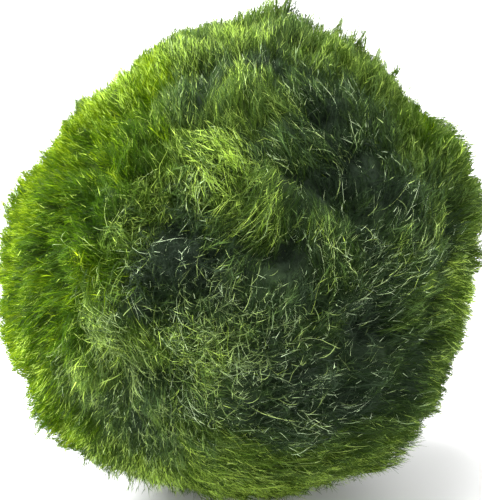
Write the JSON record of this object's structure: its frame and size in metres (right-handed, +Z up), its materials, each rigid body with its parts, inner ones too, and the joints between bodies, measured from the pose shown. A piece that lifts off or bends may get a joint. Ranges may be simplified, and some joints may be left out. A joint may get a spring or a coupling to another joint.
{
  "type": "marimo moss ball",
  "caption": "Round felted ball of green algae filaments, lumpy and combed into locks, with a small flat resting spot underneath.",
  "frame": {"origin": "middle of the small flat resting spot, on the surface that the ball sits on", "axes": "+Z up, -Y towards the ball's front, +X to the right of someone who looks at the front"},
  "size_m": [0.06, 0.0596, 0.0575],
  "materials": {
    "moss": "damp soft filaments, yellow-green where fresh and light shines through, dark blue-green in the hollows"
  },
  "bodies": {
    "root": {"moss_ball": "moss"}
  },
  "joints": []
}
